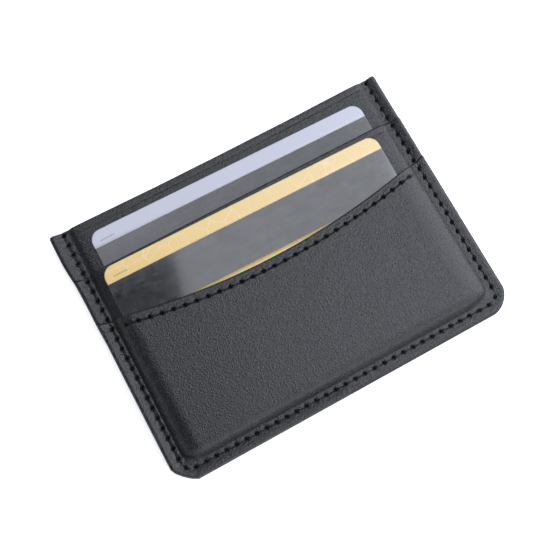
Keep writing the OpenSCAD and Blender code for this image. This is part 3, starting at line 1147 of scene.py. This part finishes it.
def card_finish(name, deep, pale, vein_mm, vein_depth, dash_top):
    """Pearl foil under a clear laminate, with a row of small print dashes; the foil is painted lighter
    towards its right side, as if lit from there.
    """
    finish = Finish(name)
    x, y, _ = finish.axes()
    pearl = finish.noise(0.16, 2.0)
    cloud = finish.noise(14.0, 3.0)
    veins = finish.cells(vein_mm, "DISTANCE_TO_EDGE", 2.6)
    # Painted light: the foil runs from its deep colour at the left to its pale colour at the right,
    # standing in for the lamps on that side; cloud and pearl add random tone.
    across = ((x + FOIL_W / 2) / FOIL_W).clamped()
    foil_mottle_and_painted_light = (across * 0.75 + cloud * 0.3 + (pearl - 0.5) * 0.35).clamped()
    foil = finish.blend(foil_mottle_and_painted_light, deep, pale)
    vein = (1.0 - (veins * 26.0).clamped()) * vein_depth
    veined = finish.blend(vein, foil, (0.95, 0.93, 0.88))
    start, height = dash_top
    row = y.above(height - DASH_H / 2) * y.below(height + DASH_H / 2)
    stretch = x.above(start) * x.below(start + DASH_RUN)
    dashes = ((x - start) * (2 * math.pi / DASH_PITCH)).sine().above(-0.35) * row * stretch
    return finish.surface(
        Base_Color=finish.blend(dashes * 0.62, veined, (0.08, 0.07, 0.07)),
        Metallic=0.15,
        Roughness=0.30 + pearl * 0.08,
        Coat_Weight=0.6,
        Coat_Roughness=0.12,
        Normal=finish.bumps(pearl, 0.004, 0.5),
    )


def stripe_finish(name, dark, pale, roughness, gloss):
    """Magnetic tape: dark, smooth and slightly scuffed from use."""
    finish = Finish(name)
    scuffs = finish.noise(1.1, 6.0, 0.72, (0.25, 1.0, 1.0))
    smudges = finish.noise(4.5, 5.0, 0.65)
    tone = (smudges * 1.3 + scuffs * 1.5 - 1.0).clamped()
    return finish.surface(
        Base_Color=finish.blend(tone, dark, pale),
        Roughness=roughness + (smudges * 0.24) ** 2 + scuffs * 0.05,
        Specular_IOR_Level=gloss,
        Coat_Weight=gloss,
        Coat_Roughness=roughness,
        Normal=finish.bumps(scuffs, 0.003, 0.35),
    )


WORN_TAPE = ((0.006, 0.0065, 0.008), (0.055, 0.057, 0.062), 0.12, 0.66)
POLISHED_TAPE = ((0.002, 0.0022, 0.003), (0.055, 0.056, 0.060), 0.06, 0.88)
STRIPES = {
    "silver_card": stripe_finish("worn_tape", *WORN_TAPE),
    "gold_card": stripe_finish("polished_tape", *POLISHED_TAPE),
}


def signature_finish():
    finish = Finish("signature_panel")
    x, y, _ = finish.axes()
    weave = ((x + y) * 7.0).sine() * ((x - y) * 7.0).sine()
    paper = finish.noise(0.3, 3.0)
    tone = (weave.above(0.55) * 0.35 + paper * 0.2).clamped()
    return finish.surface(
        Base_Color=finish.blend(tone, (0.82, 0.82, 0.78), (0.55, 0.60, 0.66)),
        Roughness=0.7 + paper * 0.15,
        Normal=finish.bumps(paper, 0.004, 0.5),
    )


def contact_finish():
    finish = Finish("contact_plate")
    brushed = finish.noise(0.3, 4.0, 0.6, (0.1, 1.0, 1.0))
    return finish.surface(
        Base_Color=finish.blend(brushed, (0.62, 0.44, 0.17), (0.90, 0.72, 0.38)),
        Metallic=1.0,
        Roughness=0.22 + brushed * 0.15,
        Normal=finish.bumps(brushed, 0.003, 0.4),
    )


SIGNATURE = signature_finish()
CONTACT = contact_finish()
# For each card: foil colour at the left, painted as shaded; foil colour at the right, painted as lit;
# vein size; and vein strength.
CARD_LOOKS = {
    "silver_card": ((0.46, 0.47, 0.545), (0.455, 0.465, 0.54), 40.0, 0.0),
    "gold_card": ((0.74, 0.51, 0.175), (0.70, 0.54, 0.29), 5.6, 0.14),
}

for card, (deep, pale, vein_mm, vein_depth) in CARD_LOOKS.items():
    body = card.replace("_", "_bank_")
    stripe_box = inlay_box(card + "_stripe", card)
    paper_box = inlay_box(card + "_signature", card)
    chip_box = inlay_box(card + "_chip", card)
    low, high = box_mm(card)
    dash_row = high[1] - 3.25
    look = card_finish(card + "_laminate", deep, pale, vein_mm, vein_depth, (low[0] + 3.0, dash_row))
    edge_cols = np.concatenate([-CARD_W / 2 + CARD_EDGE, CARD_W / 2 - CARD_EDGE])
    arc = CARD_R * (1 - np.cos(np.radians(np.arange(0, 91, 7.5))))
    cols = np.concatenate(
        [edge_cols, lines((-42, 42, 4)), seat_lines(*paper_box[:2]), seat_lines(*chip_box[:2])]
    )
    rows = np.concatenate(
        [CARD_EDGE, arc, CARD_H - arc, CARD_H - CARD_EDGE, lines((4, CARD_H - 4, 4))]
        + [seat_lines(*box[2:]) for box in (stripe_box, paper_box, chip_box)]
    )

    def face_z(x, y, boxes=(stripe_box, paper_box)):
        return CARD_T - rounded_off(x, y) - sum(recess(box, x, y) for box in boxes)

    def back_z(x, y, box=chip_box):
        return rounded_off(x, y) + recess(box, x, y)

    laminate = plate(
        card + "_plastic",
        card,
        np.unique(np.round(cols, 4)),
        np.unique(np.round(rows, 4)),
        lambda u, y: u * card_half_width(y) / (CARD_W / 2),
        face_z,
        back_z,
        look,
    )
    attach(laminate, body)
    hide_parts(card)

    # Inlays: tape, paper panel and contact plate, each flush in its own recess
    for kind, box, material, slot, level in (
        ("stripe", stripe_box, STRIPES[card], "stripe", CARD_T - INLAY_T),
        ("signature", paper_box, SIGNATURE, "signature", CARD_T - INLAY_T),
        ("chip", chip_box, CONTACT, "contact", 0.0),
    ):
        left, bottom = box[0] + 2 * INLAY_SEAT, box[2] + 2 * INLAY_SEAT
        right, upper = box[1] - 2 * INLAY_SEAT, box[3] - 2 * INLAY_SEAT
        inner_cols = lines((left + 1, right - 1, 1.05))
        inner_rows = lines((bottom + 1, upper - 1, 0.95))
        in_cols = np.concatenate([left + STRIPE_ENDS, inner_cols, right - STRIPE_ENDS[::-1]])
        in_rows = np.concatenate([bottom + STRIPE_ENDS, inner_rows, upper - STRIPE_ENDS[::-1]])

        def inlay_top(x, y, edges=(left, right, bottom, upper), level=level, kind=kind):
            inside = np.minimum(
                np.minimum(x - edges[0], edges[1] - x), np.minimum(y - edges[2], edges[3] - y)
            )
            wall = 0.0 if kind == "stripe" else INLAY_SOFT * np.clip(1 - inside / INLAY_SOFT_W, 0, 1)
            return level + INLAY_T - wall - rounded_off(x, y) * (kind == "stripe")

        def inlay_under(x, y, level=level, edges=(left, right, bottom, upper), kind=kind):
            if kind != "chip":
                return level + 0 * x + 0.002
            gaps = [edges[0] + (edges[1] - edges[0]) * part for part in (0.33, 0.67)]
            gaps_y = [edges[2] + (edges[3] - edges[2]) * part for part in (0.25, 0.5, 0.75)]
            near = np.min([np.abs(x - gap) for gap in gaps] + [np.abs(y - gap) for gap in gaps_y], axis=0)
            return level + CONTACT_GROOVE * bump(near / CONTACT_GROOVE_W)

        if kind == "chip":
            in_cols = lines((left, right, CONTACT_STEP))
            in_rows = lines((bottom, upper, CONTACT_STEP))
        inlay = plate(
            f"{card}_{kind}_inlay",
            card,
            in_cols,
            in_rows,
            lambda u, y: u,
            inlay_top,
            inlay_under,
            material,
        )
        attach(inlay, body)
        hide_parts(f"{card}_{kind}")

# ---------------------------------------------------------------------------
# Studio: a white table top, soft panel lights overhead and at the sides, a dim
# surround, and the camera that looks down on the holder from its lower left.
# ---------------------------------------------------------------------------
bpy.context.scene.view_settings.view_transform = "Standard"


def table_top():
    finish = Finish("table_top")
    fleck = finish.noise(30.0, 3.0)
    return finish.surface(
        Base_Color=finish.blend(fleck, (0.90, 0.90, 0.90), (0.93, 0.93, 0.93)),
        Roughness=0.85,
        Emission_Color=(1, 1, 1, 1),
        Emission_Strength=0.6,
    )


FLOOR_HALF_W = 3.0
FLOOR_Z = -0.00014
corners = [(-FLOOR_HALF_W, -FLOOR_HALF_W), (FLOOR_HALF_W, -FLOOR_HALF_W)]
corners += [(FLOOR_HALF_W, FLOOR_HALF_W), (-FLOOR_HALF_W, FLOOR_HALF_W)]
floor_mesh = bpy.data.meshes.new("table")
floor_mesh.from_pydata([(x, y, FLOOR_Z) for x, y in corners], [], [(0, 1, 2, 3)])
floor_mesh.materials.append(table_top())
show("table", floor_mesh)


LIGHT_TINT = (0.95, 0.99, 1.08)
OVERHEAD_TURN = math.radians(-13.9)
SURROUND_GLOW = 0.12
BACKDROP_GLOW = 0.95
DOWN = (0, 0, -1)


def panel_light(name, middle, size, facing, turn, radiance):
    """A soft panel in metres, as bright as radiance from every side that it lights."""
    light = bpy.data.lights.new(name, "AREA")
    light.shape = "RECTANGLE"
    light.color = LIGHT_TINT
    light.size, light.size_y = size
    light.energy = radiance * math.pi * size[0] * size[1]
    lamp = show(name, light)
    aim = Vector(facing).to_track_quat("-Z", "Y").to_matrix().to_4x4()
    lamp.matrix_world = Matrix.Translation(middle) @ aim @ Matrix.Rotation(turn, 4, "Z")


panel_light("overhead", (0.196, 0.0, 0.60), (0.488, 0.90), DOWN, OVERHEAD_TURN, 1.65)
panel_light("overhead_right", (0.42, -0.10, 0.58), (0.50, 0.80), DOWN, OVERHEAD_TURN, 1.6)
panel_light("overhead_far", (-0.12, 0.375, 0.60), (0.26, 0.37), DOWN, 0.0, 2.1)
panel_light("left_low", (-0.75, 0, 0.12), (1.1, 0.2), (1, 0, 0), 0.0, 0.3)
panel_light("right_side", (0.75, 0.0, 0.30), (1.1, 0.56), (-1, 0, 0), 0.0, 2.6)
panel_light("near_side", (0.15, -0.65, 0.30), (0.9, 0.56), (0, 1, 0), 0.0, 1.5)

world = bpy.data.worlds.new("surround")
world.use_nodes = True
seen = add_node(world.node_tree, "ShaderNodeLightPath")
glow = add_node(
    world.node_tree,
    "ShaderNodeMath",
    {"operation": "MULTIPLY_ADD"},
    {0: seen.outputs["Is Camera Ray"], 1: BACKDROP_GLOW - SURROUND_GLOW, 2: SURROUND_GLOW},
)
sky = world.node_tree.nodes["Background"]
sky.inputs["Color"].default_value = (1.0, 1.0, 1.0, 1)
world.node_tree.links.new(glow.outputs[0], sky.inputs["Strength"])
bpy.context.scene.world = world

CAMERA_TARGET = Vector((-1.63, -2.18, 4.15)) * MM
CAMERA_AZIMUTH = math.radians(-34.62)
CAMERA_ELEVATION = math.radians(77.75)
CAMERA_ROLL = math.radians(6.08)
CAMERA_DISTANCE = 229.9 * MM
SENSOR_W = 36.0
LENS = 53.35

camera_data = bpy.data.cameras.new("camera")
camera_data.sensor_width = SENSOR_W
camera_data.lens = LENS
camera_data.clip_start = 0.01
camera_data.clip_end = 20.0
camera = show("camera", camera_data)
back = Vector(
    (
        math.sin(CAMERA_AZIMUTH) * math.cos(CAMERA_ELEVATION),
        -math.cos(CAMERA_AZIMUTH) * math.cos(CAMERA_ELEVATION),
        math.sin(CAMERA_ELEVATION),
    )
)
level = Vector((math.cos(CAMERA_AZIMUTH), math.sin(CAMERA_AZIMUTH), 0))
over = back.cross(level)
right = level * math.cos(CAMERA_ROLL) + over * math.sin(CAMERA_ROLL)
upward = back.cross(right)
turned = Matrix((right, upward, back)).transposed()
camera.matrix_world = Matrix.Translation(CAMERA_TARGET + back * CAMERA_DISTANCE) @ turned.to_4x4()
bpy.context.scene.camera = camera
